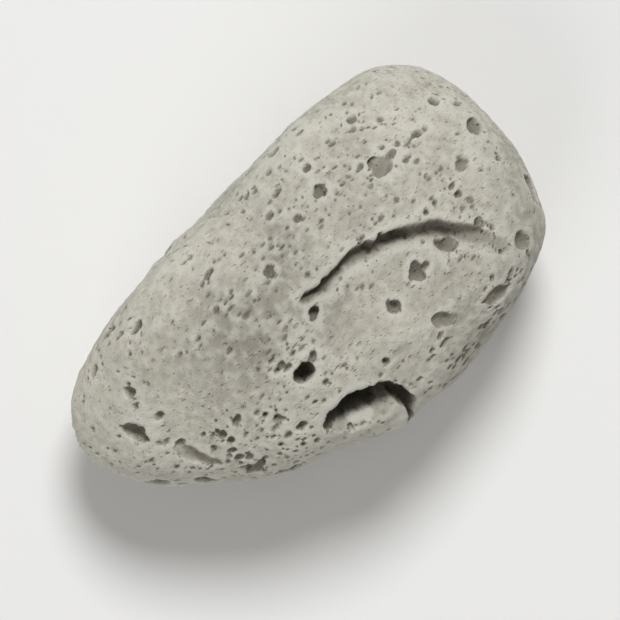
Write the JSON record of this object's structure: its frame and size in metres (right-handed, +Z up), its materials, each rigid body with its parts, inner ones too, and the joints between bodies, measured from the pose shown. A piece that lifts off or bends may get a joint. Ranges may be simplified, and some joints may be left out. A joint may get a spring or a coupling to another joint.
{
  "type": "pumice stone",
  "caption": "Rounded grey pumice pebble with a curved ledge, a side gouge and scattered burst gas bubbles, resting on a small flat patch.",
  "frame": {"origin": "middle of the pebble's box, at the height of the flat patch that it rests on", "axes": "+X along the pebble's longest side towards its blunt end, +Z up out of the resting patch, +Y completes a right-handed frame"},
  "size_m": [0.0317, 0.0182, 0.014],
  "materials": {
    "pumice": "matte pale warm-grey volcanic froth with fine pores and darker burst bubbles"
  },
  "bodies": {
    "root": {"pumice_stone": "pumice"}
  },
  "joints": []
}
